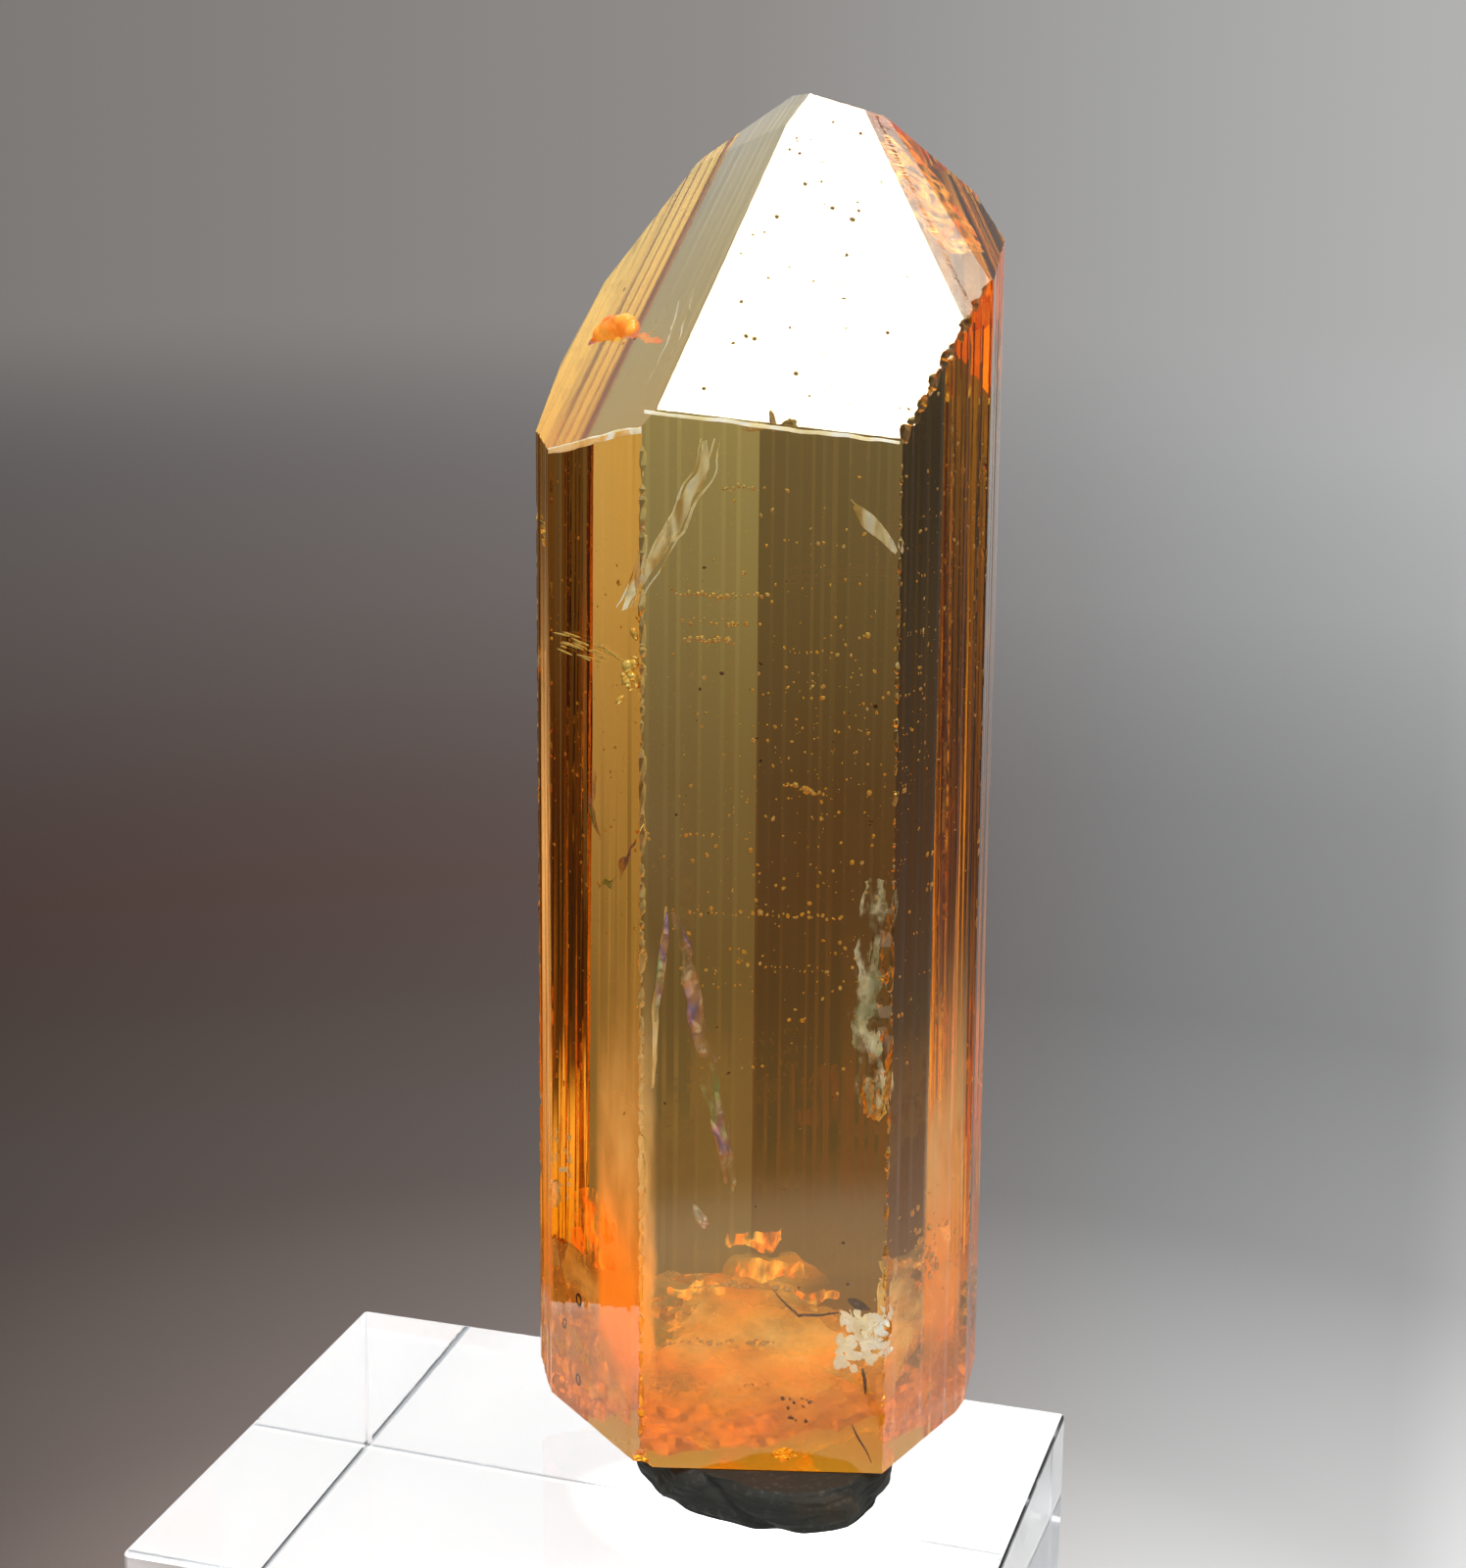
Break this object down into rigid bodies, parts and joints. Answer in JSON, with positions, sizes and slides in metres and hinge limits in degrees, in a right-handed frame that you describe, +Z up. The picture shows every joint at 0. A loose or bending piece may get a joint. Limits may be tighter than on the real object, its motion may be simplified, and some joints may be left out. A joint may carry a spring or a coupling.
{
  "type": "topaz crystal on display block",
  "caption": "Upright prismatic topaz crystal with a sloping pointed end and a flat cleaved foot, fixed with mineral tack on a low clear acrylic display block.",
  "frame": {"origin": "centre of the underside of the display block", "axes": "+Z up along the crystal's length, +X along the block's longer side to the right, -Y towards the viewer"},
  "size_m": [0.022, 0.018, 0.0489],
  "materials": {
    "topaz": "clear orange-brown crystal, polished natural faces with fine growth ribs, pits and chips",
    "tack": "dark grey-green matt putty, pressed and folded",
    "clear_acrylic": "clear polished acrylic with fine scratches"
  },
  "bodies": {
    "root": {"display_block": "clear_acrylic", "mineral_tack": "tack", "topaz_crystal": "topaz"}
  },
  "joints": []
}
